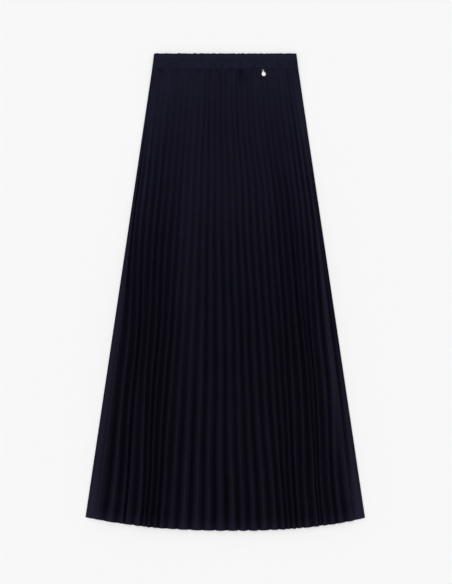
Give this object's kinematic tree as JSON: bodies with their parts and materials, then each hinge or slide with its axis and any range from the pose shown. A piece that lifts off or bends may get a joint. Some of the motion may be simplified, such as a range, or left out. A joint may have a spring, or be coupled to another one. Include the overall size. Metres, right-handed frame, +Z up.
{
  "type": "pleated midi skirt",
  "caption": "Long pleated skirt laid flat, narrow at a gathered elastic waist and wide at a softly curved hem, with a small metal drop hanging from a bar at the waist.",
  "frame": {"origin": "on the surface that the skirt lies on, under the middle of its outline", "axes": "+Y up the skirt to the waist, -Y to the hem, +X across it to the viewer's right, +Z up off the surface"},
  "size_m": [0.544, 0.932, 0.0201],
  "materials": {
    "pleated_cloth": "very dark navy crepe with a soft satin bloom",
    "casing_cloth": "the same cloth, gathered over elastic",
    "charm_metal": "polished pale steel"
  },
  "bodies": {
    "skirt": {"skirt_front": "pleated_cloth", "skirt_back": "pleated_cloth", "waistband_front": "casing_cloth", "waistband_back": "casing_cloth", "charm_bar": "charm_metal"},
    "drop": {"charm_drop": "charm_metal"}
  },
  "joints": [
    {"name": "drop_flip", "type": "hinge", "parent": "skirt", "child": "drop", "pos_m": [0.0735, 0.4335, 0.00674], "axis": [-0.9744, -0.225, 0], "range_deg": [0, 165]}
  ]
}
